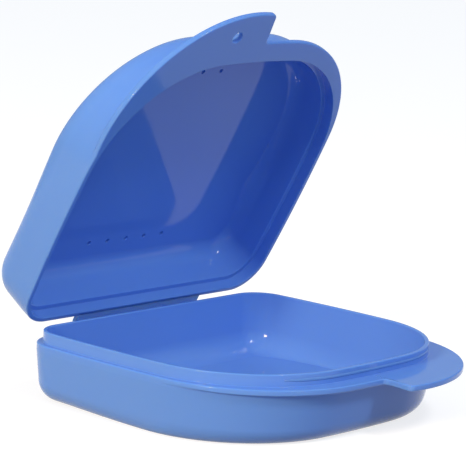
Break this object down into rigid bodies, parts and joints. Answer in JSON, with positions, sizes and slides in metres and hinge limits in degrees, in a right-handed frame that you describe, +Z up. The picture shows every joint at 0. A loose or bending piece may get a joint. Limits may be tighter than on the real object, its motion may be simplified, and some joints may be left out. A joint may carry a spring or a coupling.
{
  "type": "denture case",
  "caption": "Hinged blue plastic case for a denture or dental retainer: a D-shaped tray and matching vented lid joined by a living hinge, with finger tabs at the front.",
  "frame": {"origin": "centre of the tray's 82 x 73.5 mm footprint, on the table it stands on", "axes": "+Z up; +Y from the finger tabs at the front to the hinge at the back; +X to the side that the tray's finger tab lies on. Stored with the lid open 61 degrees from shut."},
  "size_m": [0.082, 0.0966, 0.0919],
  "materials": {
    "blue_polypropylene": "satin gloss, faintly translucent, moulded"
  },
  "bodies": {
    "base": {"base_tray": "blue_polypropylene", "base_rim": "blue_polypropylene", "snap_bead": "blue_polypropylene", "base_flange": "blue_polypropylene", "base_finger_tab": "blue_polypropylene", "base_hinge_tongue": "blue_polypropylene", "hinge_web": "blue_polypropylene"},
    "lid": {"lid_hinge_tongue": "blue_polypropylene", "lid_shell": "blue_polypropylene", "lid_skirt": "blue_polypropylene", "lid_flange": "blue_polypropylene", "lid_finger_tab": "blue_polypropylene"}
  },
  "joints": [
    {"name": "lid_hinge", "type": "hinge", "parent": "base", "child": "lid", "pos_m": [0, 0.03985, 0.01375], "axis": [-1, 0, 0], "range_deg": [-61, 114], "deforming": ["hinge_web"]}
  ]
}
